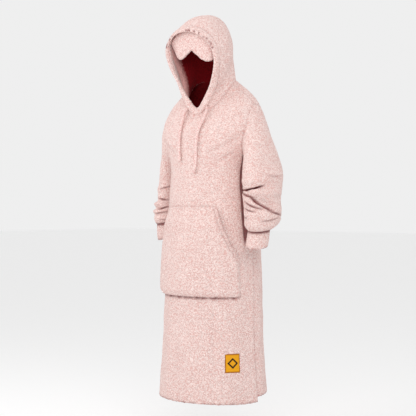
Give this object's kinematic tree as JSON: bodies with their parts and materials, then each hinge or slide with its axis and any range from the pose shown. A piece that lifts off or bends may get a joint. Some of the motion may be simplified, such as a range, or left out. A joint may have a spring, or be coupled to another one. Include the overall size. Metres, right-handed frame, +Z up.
{
  "type": "hooded lounge robe",
  "caption": "Long oversized hooded robe in fleece, worn open at neck, hem and cuffs, with an eye mask flap in the hood.",
  "frame": {"origin": "middle of the neck's base at the height of the shoulder points, where the wearer holds it up", "axes": "+Z up along the robe's length, -Y the way the front faces, +X the wearer's left"},
  "size_m": [0.6531, 0.3954, 1.5145],
  "materials": {
    "front": "sherpa fleece",
    "back": "sherpa fleece",
    "sleeve_left": "sherpa fleece",
    "sleeve_right": "sherpa fleece",
    "cuff_left": "sherpa fleece, double",
    "cuff_right": "sherpa fleece, double",
    "hood_left": "sherpa fleece",
    "hood_right": "sherpa fleece",
    "hood_band": "sherpa fleece, double",
    "eye_mask": "sherpa fleece, padded",
    "pocket": "sherpa fleece",
    "drawstring_left": "fleece cord",
    "drawstring_right": "fleece cord",
    "label": "woven patch"
  },
  "bodies": {
    "root": {"front": "front", "back": "back", "sleeve_left": "sleeve_left", "sleeve_right": "sleeve_right", "cuff_left": "cuff_left", "cuff_right": "cuff_right", "hood_left": "hood_left", "hood_right": "hood_right", "hood_band": "hood_band", "eye_mask": "eye_mask", "pocket": "pocket", "drawstring_left": "drawstring_left", "drawstring_right": "drawstring_right", "label": "label"}
  },
  "joints": []
}
